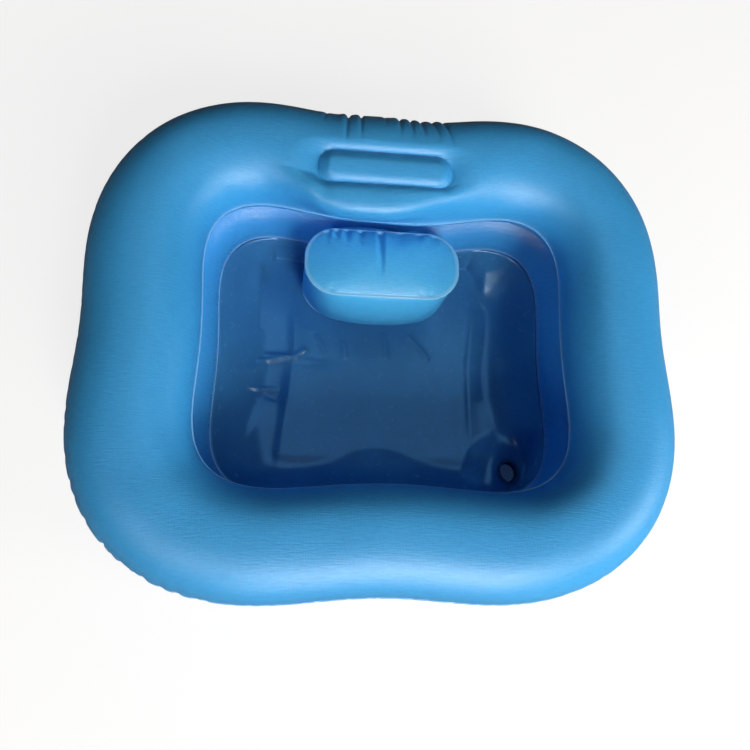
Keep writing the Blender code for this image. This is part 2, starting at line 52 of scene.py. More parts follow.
upper_seam, upper_rise, upper_drop = 0.1536, 0.0530, 0.0505
neck_middle = mouth_middle + (-0.0065, 0.1795)
neck_length, neck_width = 0.1450, 0.0366
squareness = 3.85


def oval(width, depth, middle, steps=2880):
    """Squarish oval |x|^3.85 + |y|^3.85 = 1, each side drawn in by waist*(1-x^2)^2*y^4, then scaled.

    Its far side stands back by 4.5 mm * exp(-(x/0.05)^2) under the neck rest.
    """
    t = np.linspace(0, 2 * math.pi, steps, endpoint=False) + math.pi / steps
    c, s = np.cos(t), np.sin(t)
    x = np.sign(c) * np.abs(c) ** (2 / squareness)
    y = np.sign(s) * np.abs(s) ** (2 / squareness)
    waist = np.where(y > 0, 0.206, 0.1145)
    yy = y - waist * (1 - x**2) ** 2 * y**4 * np.sign(y)
    xx = x - 0.068 * (1 - y**2) ** 2 * x**4 * np.sign(x)
    xx = (xx - (xx.max() + xx.min()) / 2) / np.ptp(xx) * width + middle[0]
    yy = (yy - (yy.max() + yy.min()) / 2) / np.ptp(yy) * depth + middle[1]
    yy = yy + 0.0045 * np.exp(-(((xx + 0.0110) / 0.050) ** 2)) * (y > 0)
    return np.stack([xx, yy], 1)


def outward(points):
    """Unit normals of a closed anticlockwise curve: the step past each point, turned right."""
    along = np.roll(points, -1, 0) - np.roll(points, 1, 0)
    normal = np.stack([along[:, 1], -along[:, 0]], 1)
    return normal / np.hypot(*normal.T)[:, None]


def tube_width(points, normal, middle):
    """Weld to weld: 109.8 mm, plus a lean to the far left, the near left corner and the neck rest."""
    corner = np.clip(-0.8 * normal[:, 0] - 0.6 * normal[:, 1], 0, 1) ** 4
    away = np.clip(np.abs(points[:, 0] - middle[0] + 0.0065) / 0.110, 0, 1)
    neck = (1 - away**2) ** 2 * (points[:, 1] > middle[1])
    return 0.1098 + 0.0038 * normal[:, 1] - 0.0039 * normal[:, 0] + 0.0055 * corner + 0.0060 * neck


def ring_line(width, depth, middle, count, crowd):
    """count stations round a ring, even along the middle of its tube, closer where crowd is above 1."""
    inner = oval(width, depth, middle)
    normal = outward(inner)
    wide = tube_width(inner, normal, middle)
    centre = inner + normal * wide[:, None] / 2
    outer = inner + normal * wide[:, None]
    step = np.hypot(*(np.roll(centre, -1, 0) - centre).T)
    total = np.r_[0, np.cumsum(step * crowd(inner))]
    walked = np.r_[0, np.cumsum(np.hypot(*(np.roll(outer, -1, 0) - outer).T))]
    want = np.linspace(0, total[-1], count, endpoint=False)
    table = np.column_stack([inner, normal, wide])
    table = np.vstack([table, table[:1]])
    table = np.column_stack([table, walked])
    rows = np.stack([np.interp(want, total, table[:, k]) for k in range(6)], 1)
    rows[:, 2:4] /= np.hypot(rows[:, 2], rows[:, 3])[:, None]
    return {"inner": rows[:, :2], "normal": rows[:, 2:4], "width": rows[:, 4], "run": rows[:, 5],
            "round": walked[-1]}


def half_tube(line, share, seam, rise, band, p=2.0):
    """One film, at shares -1 to 1 of the width: level = seam + rise*(1 - v^p)^(1/p).

    v is the share past the band.
    """
    v = np.clip((np.abs(share) - band) / (1 - band), 0, 1)
    arch = (1 - v**p) ** (1 / p)
    reach = line["width"] * (1 + share) / 2
    tilt_out = np.sign(share) * v ** (p - 1) / (line["width"] / 2 * (1 - band))
    tilt_up = arch ** (p - 1) / rise
    size = np.hypot(tilt_out, tilt_up) + 1e-9
    level = seam + rise * arch
    step = np.hypot(np.diff(reach, axis=0), np.diff(level, axis=0))
    arc = np.vstack([np.zeros(share.shape[1]), np.cumsum(step, 0)])
    return {"reach": reach, "level": level, "out": tilt_out / size, "up": tilt_up / size, "arc": arc,
            "share": share}


def creases(along, toward, total, places, depths, spreads, reaches):
    """Sum over creases of depth * exp(-(distance along / spread)^2) * (1 - toward/reach)^1.2.

    The last factor is never below 0.
    """
    out = np.zeros(toward.shape)
    for place, depth, spread, reach in zip(places, depths, spreads, reaches):
        gap = (along - place + total / 2) % total - total / 2
        near = np.abs(gap) < 4 * spread
        fade = np.clip(1 - toward[:, near] / reach, 0, 1) ** 1.2
        out[:, near] += depth * np.exp(-((gap[near] / spread) ** 2)) * fade
    return out


def stadium(x, y, middle, length, width):
    """Signed distance to a straight-sided shape with round ends, and how far its edge faces +y there."""
    along = np.clip(x - middle[0], -(length - width) / 2, (length - width) / 2)
    spine = np.hypot(x - middle[0] - along, y - middle[1]) + 1e-9
    return spine - width / 2, (y - middle[1]) / spine


def skin(name, points, faces, finish, flat=None, weld=None, sharp=None):
    """A mesh object at the origin from an array of points and an array of four-sided faces."""
    mesh = bpy.data.meshes.new(name)
    mesh.vertices.add(len(points))
    mesh.vertices.foreach_set("co", np.asarray(points, np.float32).ravel())
    mesh.loops.add(faces.size)
    mesh.loops.foreach_set("vertex_index", faces.ravel().astype(np.int32))
    mesh.polygons.add(len(faces))
    mesh.polygons.foreach_set("loop_start", np.arange(0, faces.size, faces.shape[1], dtype=np.int32))
    mesh.polygons.foreach_set("use_smooth", np.ones(len(faces), bool))
    mesh.update(calc_edges=True)
    if flat is not None:
        layer = mesh.uv_layers.new(name="flat")
        layer.data.foreach_set("uv", np.asarray(flat, np.float32)[faces.ravel()].ravel())
    if weld is not None:
        mark = mesh.attributes.new("weld", "FLOAT", "POINT")
        mark.data.foreach_set("value", np.asarray(weld, np.float32))
    if sharp is not None:
        ends = np.empty(len(mesh.edges) * 2, np.int32)
        mesh.edges.foreach_get("vertices", ends)
        ends = sharp[ends.reshape(-1, 2)]
        crisp = mesh.attributes.new("sharp_edge", "BOOLEAN", "EDGE")
        crisp.data.foreach_set("value", (ends[:, 0] == ends[:, 1]) & (ends[:, 0] > 0))
    mesh.materials.append(finish)
    ob = bpy.data.objects.new(name, mesh)
    bpy.context.scene.collection.objects.link(ob)
    return ob


def closed_grid(rows, columns):
    """Four-sided faces of a grid closed both ways, facing out where its rows run outward on top."""
    i, j = np.meshgrid(np.arange(rows), np.arange(columns), indexing="ij")
    down, across = (i + 1) % rows, (j + 1) % columns
    corners = [i * columns + j, down * columns + j, down * columns + across, i * columns + across]
    return np.stack(corners, -1).reshape(-1, 4)


def air_ring(name, line, top, low, fin_wave, finish):
    """Both films and both weld fins as one closed skin: a section of rows, swept round the stations."""
    n = len(line["width"])
    seam = (top["level"][0] + low["level"][0]) / 2
    edge = np.array([[-fin_reach, -fin_half * 0.7], [-fin_reach, fin_half * 0.7]])
    inner_reach = np.repeat(edge[:, :1], n, 1)
    inner_level = seam + np.repeat(edge[:, 1:], n, 1)
    outer_reach = top["reach"][-1] + np.repeat(-edge[::-1, :1], n, 1)
    outer_level = seam + np.repeat(edge[::-1, 1:], n, 1) + fin_wave
    reach = np.vstack([inner_reach, top["reach"], outer_reach, low["reach"][::-1]])
    level = np.vstack([inner_level, top["level"], outer_level, low["level"][::-1]])
    top_end, low_end = top["arc"][-1], low["arc"][-1]
    arc = np.vstack([np.full((2, n), -fin_reach), top["arc"], np.stack([top_end, low_end]) + fin_reach,
                     low["arc"][::-1]])
    m = len(reach)
    plan = line["inner"][None] + line["normal"][None] * reach[..., None]
    points = np.concatenate([plan, level[..., None]], -1).reshape(-1, 3)
    flat = (line["inner"][None] + line["normal"][None] * arc[..., None]).reshape(-1, 2)
    k = len(top["reach"])
    weld = np.zeros(m)
    weld[[0, 1, 2, k + 1, k + 2, k + 3, k + 4, m - 1]] = 1
    sharp = np.zeros(m, int)
    sharp[[0, 1, 2, k + 1, k + 2, k + 3, k + 4, m - 1]] = np.arange(1, 9)
    return skin(name, points, closed_grid(m, n), finish, flat, np.repeat(weld, n), np.repeat(sharp, n))


def link(tree, kind, sockets, **settings):
    """One shader node: settings go on the node, sockets are values or the outputs that feed them."""
    made = tree.nodes.new(kind)
    for key, value in settings.items():
        setattr(made, key, value)
    for key, value in sockets.items():
        if isinstance(value, bpy.types.NodeSocket):
            tree.links.new(value, made.inputs[key])
        else:
            made.inputs[key].default_value = value
    return made


def streaks(tree, vector, scale, detail=2.0):
    """Noise drawn out along one way: the pattern's coordinates are scaled before a noise of size 1."""
    turned = link(tree, "ShaderNodeMapping", {"Vector": vector, "Scale": scale})
    return link(tree, "ShaderNodeTexNoise", {"Vector": turned.outputs[0], "Scale": 1.0, "Detail": detail,
                                             "Roughness": 0.6}).outputs["Fac"]


def embossed_vinyl(name, light, dark, rough):
    """Soft vinyl with a linen emboss: fine streaks one way and finer ones across, smooth on the welds."""
    mat = bpy.data.materials.new(name)
    mat.use_nodes = True
    tree = mat.node_tree
    shader = tree.nodes["Principled BSDF"]
    place = link(tree, "ShaderNodeUVMap", {}, uv_map="flat").outputs[0]
    weft = streaks(tree, place, (80, 600, 600), 3.0)
    warp = streaks(tree, place, (760, 130, 760), 3.0)
    fine = streaks(tree, place, (1500, 1900, 1500), 1.0)
    both = link(tree, "ShaderNodeMath", {0: warp, 1: 0.45, 2: weft}, operation="MULTIPLY_ADD").outputs[0]
    weave = link(tree, "ShaderNodeMath", {0: fine, 1: 0.30, 2: both}, operation="MULTIPLY_ADD").outputs[0]
    cloud = streaks(tree, place, (9, 7, 9), 2.0)
    worn = link(tree, "ShaderNodeMapRange", {0: weave, 1: 0.66, 2: 1.08, 3: 0.0, 4: 1.0}).outputs[0]
    blotch = link(tree, "ShaderNodeMapRange", {0: cloud, 1: 0.3, 2: 0.7, 3: -0.12, 4: 0.12}).outputs[0]
    mixer = link(tree, "ShaderNodeMath", {0: worn, 1: blotch}, operation="ADD", use_clamp=True).outputs[0]
    hue = link(tree, "ShaderNodeMix", {0: mixer, 6: dark, 7: light}, data_type="RGBA").outputs[2]
    # The welds are painted paler and whiter than the film: a painted highlight along the seam lines.
    weld = link(tree, "ShaderNodeAttribute", {}, attribute_name="weld").outputs["Fac"]
    pale = tuple(c * 0.82 + 0.14 for c in light[:3]) + (1.0,)
    colour = link(tree, "ShaderNodeMix", {0: weld, 6: hue, 7: pale}, data_type="RGBA").outputs[2]
    tree.links.new(colour, shader.inputs["Base Color"])
    gloss = link(tree, "ShaderNodeMapRange", {0: weave, 1: 0.6, 2: 1.1, 3: rough + 0.05, 4: rough - 0.05})
    smooth = link(tree, "ShaderNodeMix", {0: weld, 2: gloss.outputs[0], 3: 0.26}, data_type="FLOAT")
    tree.links.new(smooth.outputs[0], shader.inputs["Roughness"])
    plain = link(tree, "ShaderNodeMath", {0: 1.0, 1: weld}, operation="SUBTRACT").outputs[0]
    height = link(tree, "ShaderNodeMath", {0: weave, 1: plain}, operation="MULTIPLY").outputs[0]
    bump = link(tree, "ShaderNodeBump", {"Height": height, "Strength": 0.60, "Distance": 0.0006})
    tree.links.new(bump.outputs[0], shader.inputs["Normal"])
    shader.inputs["IOR"].default_value = 1.5
    return mat


rim_light, rim_dark = (0.056, 0.420, 0.880, 1.0), (0.044, 0.350, 0.790, 1.0)
rim_vinyl = embossed_vinyl("rim_vinyl", rim_light, rim_dark, 0.36)
rng = np.random.default_rng(7)
upper_stations = 900


def rim_crowd(points):
    """Stations stand more than twice as close along the neck rest."""
    near = np.abs(points[:, 0] - neck_middle[0]) < neck_length / 2 + 0.012
    return np.where(near & (points[:, 1] > mouth_middle[1]), 2.4, 1.0)


upper = ring_line(mouth_width, mouth_depth, mouth_middle, upper_stations, rim_crowd)
far_half = upper["inner"][:, 1] > mouth_middle[1]


def beside_neck(full, fade):
    """1 within full of the neck rest's middle, falling to 0 over fade, on the far half only."""
    past = np.clip((np.abs(upper["inner"][:, 0] - neck_middle[0]) - full) / fade, 0, 1)
    return (1 - past * past * (3 - 2 * past)) * far_half


def fullness(share):
    """Power of the rim's arch: 2.3, and up to 3.4 on its bowl side beside the neck rest."""
    return 2.3 + 1.1 * wide * np.clip(-share * 4, 0, 1)


def scattered(line, count):
    """Puckers round a weld: their runs, the ways out there, and (2*|x*y|)^2 of each way.

    They are evenly spaced, but for up to 0.3 of a step at random. The last value is 1 at the corners.
    """
    places = (np.arange(count) + rng.uniform(-0.3, 0.3, count)) * line["round"] / count
    facing = np.stack([np.interp(places, line["run"], line["normal"][:, k]) for k in (0, 1)], 1)
    return places, facing, (2 * np.abs(facing[:, 0] * facing[:, 1])) ** 2


def ruffle(line, places, depths):
    """Level of a weld's outer edge: half of each pucker's depth, up and down in turn."""
    ways = np.where(np.arange(len(places)) % 2, 0.5, -0.5)
    return np.interp(line["run"], places, depths * ways, period=line["round"])


near_row, near_span = -0.68, 0.32
swell = -np.cos(np.linspace(0, math.pi, 62))
close = np.array([0.008, 0.020, 0.036, 0.058])
neck_rows = np.concatenate([c + s * close for c in (near_row, 0.0) for s in (-1, 1)]
                           + [[near_row, 0.0]])
kept = [s for s in swell if np.abs(s - neck_rows).min() > 0.012 or abs(s) == 1]
share = np.sort(np.concatenate([kept, neck_rows]))[:, None] * np.ones(upper_stations)

# The rows of the rim's film are moved onto the two straight weld lines of the neck rest
mask = beside_neck(0.0625, 0.020)
upright = np.where(mask > 0, upper["normal"][:, 1] * upper["width"], 1.0)
for_near = 2 * (neck_middle[1] - neck_width / 2 - upper["inner"][:, 1]) / upright - 1
for_far = 2 * (neck_middle[1] + neck_width / 2 - upper["inner"][:, 1]) / upright - 1
low_part = np.clip((share + 1) / near_span, 0, 1) * (for_near + 1) - 1
mid_part = np.clip((share - near_row) / -near_row, 0, 1) * (for_far - for_near)
top_part = np.clip(share, 0, 1) * (1 - for_far)
share = share * (1 - mask) + (low_part + mid_part + top_part) * mask

wide = beside_neck(0.045, 0.090)
top = half_tube(upper, share, upper_seam + fin_half, upper_rise, 0.0, fullness(share))
low_share = -np.cos(np.linspace(0, math.pi, 26))[:, None] * np.ones(upper_stations)
slimmer = 2.0 - 0.55 * np.clip(-low_share * 3, 0, 1)
low = half_tube(upper, low_share, upper_seam - fin_half, -upper_drop, contact_band, slimmer)

# Between the rim's inner weld and the neck weld the film swells into a nose that hangs over the bowl: a
# cubic curve from weld to weld, whose two handles reach 6 and 40 mm over the bowl
weld_share = np.maximum(for_near, -0.9) * mask - 0.62 * (1 - mask)
part = np.clip((share + 1) / (weld_share + 1), 0, 1)
lobe = np.exp(-np.abs((upper["inner"][:, 0] + 0.0290) / 0.068) ** 3) * far_half
t = np.sqrt(part)
full_there = fullness(weld_share)
end_reach = (weld_share + 1) * upper["width"] / 2
end_level = upper_seam + fin_half + upper_rise * (1 - np.abs(weld_share) ** full_there) ** (1 / full_there)
nose_reach = -0.006 * 3 * (1 - t)**2 * t - 0.040 * 3 * (1 - t) * t**2 + t**3 * end_reach
nose_level = ((1 - t)**3 * top["level"][0] + 3 * (1 - t)**2 * t * (upper_seam + 0.010)
              + 3 * (1 - t) * t**2 * (end_level + 0.008) + t**3 * end_level)
nose = lobe * (part < 1)
top["reach"] = top["reach"] * (1 - nose) + nose_reach * nose
top["level"] = top["level"] * (1 - nose) + nose_level * nose
rise_of_film = 0.0036 * wide**2 * (1 - lobe) * np.sin(math.pi * part**0.82)
# Puckers along the outer weld: fine ones at random, the deep row of the near left corner where it is, and
# the pleats behind the neck rest, where the weld draws the film in and it swells between them
count = 128
places, facing, corner = scattered(upper, count)
outer = upper["inner"] + upper["normal"] * upper["width"][:, None]
at_x = np.interp(places, upper["run"], outer[:, 0])
depths = 0.0003 + 0.0005 * np.clip(-facing[:, 0], 0, 1) ** 6 + 0.0009 * corner
depths = depths * rng.uniform(0.4, 1.3, count)
behind_neck = (facing[:, 1] > 0.8) & (np.abs(at_x - neck_middle[0]) < 0.080)
depths[behind_neck | ((places > 1.06) & (places < 1.335))] = 0.0
spreads = rng.uniform(0.0024, 0.0040, count)
reaches = rng.uniform(0.022, 0.045, count)
deep_run = np.array([1.0767, 1.0905, 1.1228, 1.1472, 1.1613, 1.1849, 1.2131, 1.2240, 1.2361, 1.2433,
                     1.2517, 1.2601, 1.2790, 1.2948, 1.3130, 1.3210])
deep_depth = np.array([1.2, 1.0, 1.0, 1.8, 1.5, 1.8, 3.4, 1.2, 2.0, 1.4,
                       1.4, 2.2, 1.2, 1.6, 1.2, 1.0]) * 0.001
pleat_x = np.array([-0.0690, -0.0455, -0.0325, -0.0060, 0.0100, 0.0215, 0.0325, 0.0445, 0.0560])
pleat_depth = np.array([1.8, 5.6, 5.2, 1.8, 4.6, 5.0, 5.0, 4.6, 6.4]) * 0.001
pleat_reach = np.array([0.080, 0.098, 0.090, 0.076, 0.084, 0.084, 0.084, 0.086, 0.098])
far_side = np.where(upper["normal"][:, 1] > 0.7, np.abs(outer[:, 0][:, None] - pleat_x).T, 9.0)
pleat_run = upper["run"][far_side.argmin(1)]
deep, pleats = len(deep_run), len(pleat_x)
puckers = (np.r_[places, deep_run, pleat_run, pleat_run + 0.0058],
           np.r_[depths, deep_depth, pleat_depth, -0.3 * pleat_depth],
           np.r_[spreads, np.full(deep, 0.0034), np.full(pleats, 0.0018), np.full(pleats, 0.0032)],
           np.r_[reaches, np.full(deep, 0.048), pleat_reach, 0.9 * pleat_reach])
pinch = creases(upper["run"], top["arc"][-1] - top["arc"], upper["round"], *puckers)
pinch_low = creases(upper["run"], low["arc"][-1] - low["arc"], upper["round"], *puckers)
# Slow unevenness of the blown film
turn = 2 * math.pi * upper["run"] / upper["round"]
waves = [(0.00030, 5, 0.3, 1.7), (0.00025, 9, 2.1, -1.2), (0.00018, 14, 4.0, 2.6), (0.00012, 23, 1.1, 3.1)]
wave = sum(a * np.sin(k * turn + p + q * share) for a, k, p, q in waves)
wave = wave * (1 - share**2)

bulge = rise_of_film - pinch + wave
top["reach"] = top["reach"] + top["out"] * bulge
top["level"] = top["level"] + top["up"] * bulge
low["reach"] = low["reach"] - low["out"] * pinch_low
low["level"] = low["level"] - low["up"] * pinch_low
plan = upper["inner"][None] + upper["normal"][None] * top["reach"][..., None]
away, facing_far = stadium(plan[..., 0], plan[..., 1], neck_middle, neck_length, neck_width)
straight = facing_far**2
groove = 0.0085 * (1 - straight) + np.where(facing_far > 0, 0.0062, 0.0038) * straight
bank = 0.0320 * (1 - straight) + np.where(facing_far > 0, 0.0085, 0.0090) * straight
inner_bank = np.where(facing_far > 0, 0.0150, 0.0075) * straight + 0.0140 * (1 - straight)
nearness = np.where(away > 0, np.clip(1 - away / bank, 0, 1), np.clip(1 + away / inner_bank, 0, 1))
sink = groove * nearness ** 1.6 + 0.0011 * np.exp(-((away / 0.0011) ** 2))
top["level"] = top["level"] - sink * far_half
fin_wave = ruffle(upper, places, depths)
upper_ring = air_ring("upper_ring_films", upper, top, low, fin_wave, rim_vinyl)
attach(upper_ring, "basin")
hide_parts("upper_ring_top_sheet", "upper_ring_bottom_sheet", "neck_rest_baffle")


# Lower ring: the same two-sheet tube, a little larger inside, that the upper ring is welded onto. It
# stands on the table, and the floor hangs from its inner weld. Its film is the same vinyl.
lower_middle = mouth_middle + 0.009
lower_width, lower_depth = mouth_width + 0.0044, mouth_depth + 0.0100
lower_stations = 820
lower_seam, lower_rise = 0.0510, 0.0505
lower = ring_line(lower_width, lower_depth, lower_middle, lower_stations, lambda p: np.ones(len(p)))
lower_share = -np.cos(np.linspace(0, math.pi, 48))[:, None] * np.ones(lower_stations)
lower_top = half_tube(lower, lower_share, lower_seam + fin_half, lower_rise, contact_band)
lower_low = half_tube(lower, lower_share[::2], lower_seam - fin_half, fin_half - lower_seam, contact_band)
count = 112
places, facing, corner = scattered(lower, count)
depths = (0.0003 + 0.0012 * corner) * rng.uniform(0.4, 1.3, count)
reaches = rng.uniform(0.020, 0.040, count)
spreads = rng.uniform(0.0026, 0.0042, count)
for film_rows in (lower_top, lower_low):
    toward = film_rows["arc"][-1] - film_rows["arc"]
    pinch = creases(lower["run"], toward, lower["round"], places, depths, spreads, reaches)
    film_rows["reach"] = film_rows["reach"] - film_rows["out"] * pinch
    film_rows["level"] = film_rows["level"] - film_rows["up"] * pinch
fin_wave = ruffle(lower, places, depths)
wall_vinyl = embossed_vinyl("wall_vinyl", (0.058, 0.405, 0.880, 1.0), (0.048, 0.340, 0.790, 1.0), 0.30)
lower_ring = air_ring("lower_ring_films", lower, lower_top, lower_low, fin_wave, wall_vinyl)
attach(lower_ring, "basin")
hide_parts("lower_ring_top_sheet", "lower_ring_bottom_sheet")


# Floor: one slack sheet of smooth dark vinyl, welded all round to the lower ring's inner weld. It drops
# to the table, lies there in long folds, and rises to the leaning flat that carries the drain.
floor_level, floor_start = 0.0010, 0.0495
drain_at = mouth_middle + (0.1689, -0.1119)
drain_level = 0.016
floor_grid = (236, 200)
hole = 0.0139


def square_fan(across, deep):
    """Square grid over -1..1 both ways: the share is the larger of |u| and |v|, the way is (u, v)."""
    u, v = np.meshgrid(np.linspace(-1, 1, across), np.linspace(-1, 1, deep), indexing="ij")
    share = np.maximum(np.abs(u), np.abs(v))
    size = np.hypot(u, v) + 1e-9
    return share, u / size, v / size


def open_grid(rows, columns):
    """Four-sided faces of an open grid whose first way and second way turn from x to y."""
    i, j = np.meshgrid(np.arange(rows - 1), np.arange(columns - 1), indexing="ij")
    corners = [i * columns + j, (i + 1) * columns + j, (i + 1) * columns + j + 1, i * columns + j + 1]
    return np.stack(corners, -1).reshape(-1, 4)


def reach_of(curve, middle, ux, uy):
    """Distance from the middle to a closed curve along each way, read by angle."""
    d = curve - middle
    angle = np.arctan2(d[:, 1], d[:, 0])
    order = np.argsort(angle)
    return np.interp(np.arctan2(uy, ux), angle[order], np.hypot(*d.T)[order], period=2 * math.pi)


def fold(x, y, start, end, height, half, soft=1.0, lean=1.0):
    """Ridge along a line: height * exp(-(distance/half)^soft), fading at its ends.

    It is lean times wider on its left.
    """
    (ax, ay), (bx, by) = start, end
    long = math.hypot(bx - ax, by - ay)
    ux, uy = (bx - ax) / long, (by - ay) / long
    t = ((x - ax) * ux + (y - ay) * uy) / long
    off = (x - ax) * uy - (y - ay) * ux
    half = np.where(off < 0, half * lean, half)
    ends = np.clip(t * (1 - t) * 4, 0, 1) ** 0.6 * (t > 0) * (t < 1)
    return height * np.exp(-((np.abs(off) / half) ** soft)) * ends


lower_oval = oval(lower_width, lower_depth, lower_middle)
share, ux, uy = square_fan(*floor_grid)
edge = reach_of(lower_oval, lower_middle, ux, uy) - fin_reach
x = lower_middle[0] + ux * share * edge
y = lower_middle[1] + uy * share * edge
inward = (1 - share) * edge
past = np.abs(x - mouth_middle[0] - 0.0034) - 0.090 - 0.036
behind = np.clip(1 - past / 0.020, 0, 1) * (uy > 0.35)
run = 0.058 * (1 - behind) + 0.0036 * behind
drop = np.clip(1 - np.maximum(inward - fin_reach, 0) / run, 0, 1)
z = floor_level + (floor_start - floor_level) * drop**1.8
slack = np.clip(inward / 0.03, 0, 1)
pillow_near = np.clip(stadium(x, y, mouth_middle + (0.0034, 0.1130), 0.196, 0.062)[0] / 0.02, 0, 1)
drain_away = np.hypot(x - drain_at[0], y - drain_at[1])
calm = slack * pillow_near * np.clip((drain_away - 0.022) / 0.02, 0, 1)
folds = [
    ((-0.0989, 0.1100), (-0.0958, 0.0100), 0.0042, 0.0050, 1.4, 5.0),
    ((-0.0958, 0.0200), (-0.1120, -0.1350), 0.0050, 0.0085, 1.6, 5.0),
    ((-0.0955, 0.0185), (-0.1420, 0.0110), 0.0046, 0.0035, 1.1, 1.0),
    ((-0.0955, 0.0190), (-0.1350, 0.0200), 0.0034, 0.0025, 1.1, 1.0),
    ((-0.0970, 0.0170), (-0.0800, 0.0310), 0.0040, 0.0035, 1.1, 1.0),
    ((-0.1520, -0.0245), (-0.1130, -0.0238), 0.0030, 0.0024, 1.1, 1.0),
    ((-0.1650, -0.0100), (-0.1300, 0.0080), 0.0026, 0.0070, 1.6, 1.0),
    ((-0.1240, -0.0350), (-0.1560, -0.1150), 0.0060, 0.0130, 1.8, 2.0),
    ((0.1360, 0.0950), (0.1250, 0.0120), 0.0026, 0.0050, 1.4, 4.0),
    ((0.1255, 0.0300), (0.1262, -0.0900), 0.0030, 0.0060, 1.5, 4.0),
    ((0.1450, -0.0300), (0.1640, -0.1000), 0.0024, 0.0100, 1.6, 2.0),
    ((-0.0700, 0.0500), (-0.0560, 0.0220), 0.0022, 0.0040, 1.4, 1.0),
    ((-0.0350, 0.0430), (-0.0320, 0.0180), 0.0024, 0.0042, 1.4, 1.0),
    ((0.0160, 0.0560), (0.0210, 0.0200), 0.0026, 0.0045, 1.4, 1.0),
    ((0.0480, 0.0540), (0.0760, 0.0200), 0.0022, 0.0050, 1.4, 1.0),
    ((-0.1500, -0.1080), (0.1400, -0.1040), 0.0040, 0.0160, 2.0, 1.0),
]
relief = sum(fold(x, y, *f) for f in folds)
sway = (0.00024 * np.sin(52 * x + 1.3) * np.sin(44 * y + 0.4) + 0.00012 * np.sin(95 * x - 60 * y + 2.0)
        + 0.00008 * np.sin(130 * y + 70 * x))
z = z + calm * (relief + sway + 0.0004)
dips = (fold(x, y, (-0.1700, 0.1500), (-0.0900, 0.1200), 1.0, 0.010, 2.0)
        + fold(x, y, (0.1900, 0.1640), (0.1050, 0.1180), 0.5, 0.010, 2.0))
z = z - 0.0060 * np.clip(inward / 0.02, 0, 1) * dips
lean_x, lean_y = [0.026 * np.tanh((q - at) / 0.026) for q, at in ((x, drain_at[0]), (y, drain_at[1]))]
flat_of_drain = drain_level - 0.30 * lean_x - 0.12 * lean_y
w = np.clip((0.060 - drain_away) / (0.060 - 0.020), 0, 1) * np.clip(inward / 0.006, 0, 1)
w = w * w * (3 - 2 * w)
z = np.maximum(z * (1 - w) + flat_of_drain * w, floor_level)
floor_points = np.stack([x, y, z], -1).reshape(-1, 3)


def smooth_vinyl(name, light, dark, rough, wobble):
    """Plain glossy vinyl: a soft unevenness from slow noise, faint scuffs, a little colour drift."""
    mat = bpy.data.materials.new(name)
    mat.use_nodes = True
    tree = mat.node_tree
    shader = tree.nodes["Principled BSDF"]
    place = link(tree, "ShaderNodeTexCoord", {}).outputs["Object"]
    cloud = streaks(tree, place, (14, 11, 14), 3.0)
    scuff = streaks(tree, place, (120, 150, 130), 4.0)
    soft = streaks(tree, place, (46, 38, 46), 0.5)
    drift = link(tree, "ShaderNodeMapRange", {0: cloud, 1: 0.3, 2: 0.7, 3: 0.0, 4: 1.0}).outputs[0]
    hue = link(tree, "ShaderNodeMix", {0: drift, 6: dark, 7: light}, data_type="RGBA").outputs[2]
    # The welds are painted lighter than the film: a painted highlight. The floor sheet carries no weld
    # marks.
    weld = link(tree, "ShaderNodeAttribute", {}, attribute_name="weld").outputs["Fac"]
    pale = tuple(c * 1.1 for c in light[:3]) + (1.0,)
    colour = link(tree, "ShaderNodeMix", {0: weld, 6: hue, 7: pale}, data_type="RGBA").outputs[2]
    tree.links.new(colour, shader.inputs["Base Color"])
    gloss = link(tree, "ShaderNodeMapRange", {0: scuff, 1: 0.35, 2: 0.75, 3: rough - 0.03, 4: rough + 0.06})
    tree.links.new(gloss.outputs[0], shader.inputs["Roughness"])
    bump = link(tree, "ShaderNodeBump", {"Height": soft, "Strength": 0.5, "Distance": wobble})
    tree.links.new(bump.outputs[0], shader.inputs["Normal"])
    shader.inputs["IOR"].default_value = 1.52
    shader.inputs["Specular Tint"].default_value = (0.62, 0.84, 1.0, 1.0)
    return mat


floor_light, floor_dark = (0.054, 0.262, 0.560, 1.0), (0.044, 0.210, 0.470, 1.0)
floor_vinyl = smooth_vinyl("floor_vinyl", floor_light, floor_dark, 0.24, 0.0005)
faces = open_grid(*floor_grid)
gone = (drain_away < hole).reshape(-1)[faces].all(1)
floor = skin("floor_sheet_film", floor_points, faces[~gone], floor_vinyl)
thick = floor.modifiers.new("film", "SOLIDIFY")
thick.thickness = film
thick.offset = -1
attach(floor, "basin")
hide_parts("floor_sheet")


# Pillow: a flat base panel, a side band and a top panel, welded along two outside seams and blown up. The
# band bellies out over the bowl, and bulges behind the far seam where the rings leave it room. The swelling
# is finished by a cloth run under air pressure with the seams held, and the puckers are pressed in after it.
pillow_base = mouth_middle + (0.0036, 0.1286)
pillow_top = mouth_middle + (0.0010, 0.1085)
pillow_foot, pillow_height = 0.0021, 0.1150
top_size = (0.172, 0.077, 0.034)
steps = 260
air_frames = 20


def round_box(width, depth, radius, middle, ux, uy):
    """Points of a round-cornered box along the ways (ux, uy), by bisection on each ray's length."""
    lo, hi = np.zeros(ux.shape), np.full(ux.shape, width)
    for _ in range(30):
        mid = (lo + hi) / 2
        qx = np.maximum(np.abs(ux * mid) - (width / 2 - radius), 0)
        qy = np.maximum(np.abs(uy * mid) - (depth / 2 - radius), 0)
        within = (np.abs(ux * mid) < width / 2) & (np.abs(uy * mid) < depth / 2)
        inside = (np.hypot(qx, qy) < radius) & within
        lo, hi = np.where(inside, mid, lo), np.where(inside, hi, mid)
    return np.stack([middle[0] + ux * lo, middle[1] + uy * lo], -1)


def fin_rows(line, level, reach, half):
    """Four rows round a flat weld, from half below to half above it, a fifth thinner at its edge."""
    normal = outward(line)
    rows = []
    for out, up in ((0.0, -half), (reach, -half * 0.8), (reach, half * 0.8), (0.0, half)):
        rows.append(np.concatenate([line + normal * out, level[:, None] + up], -1))
    return np.stack(rows)


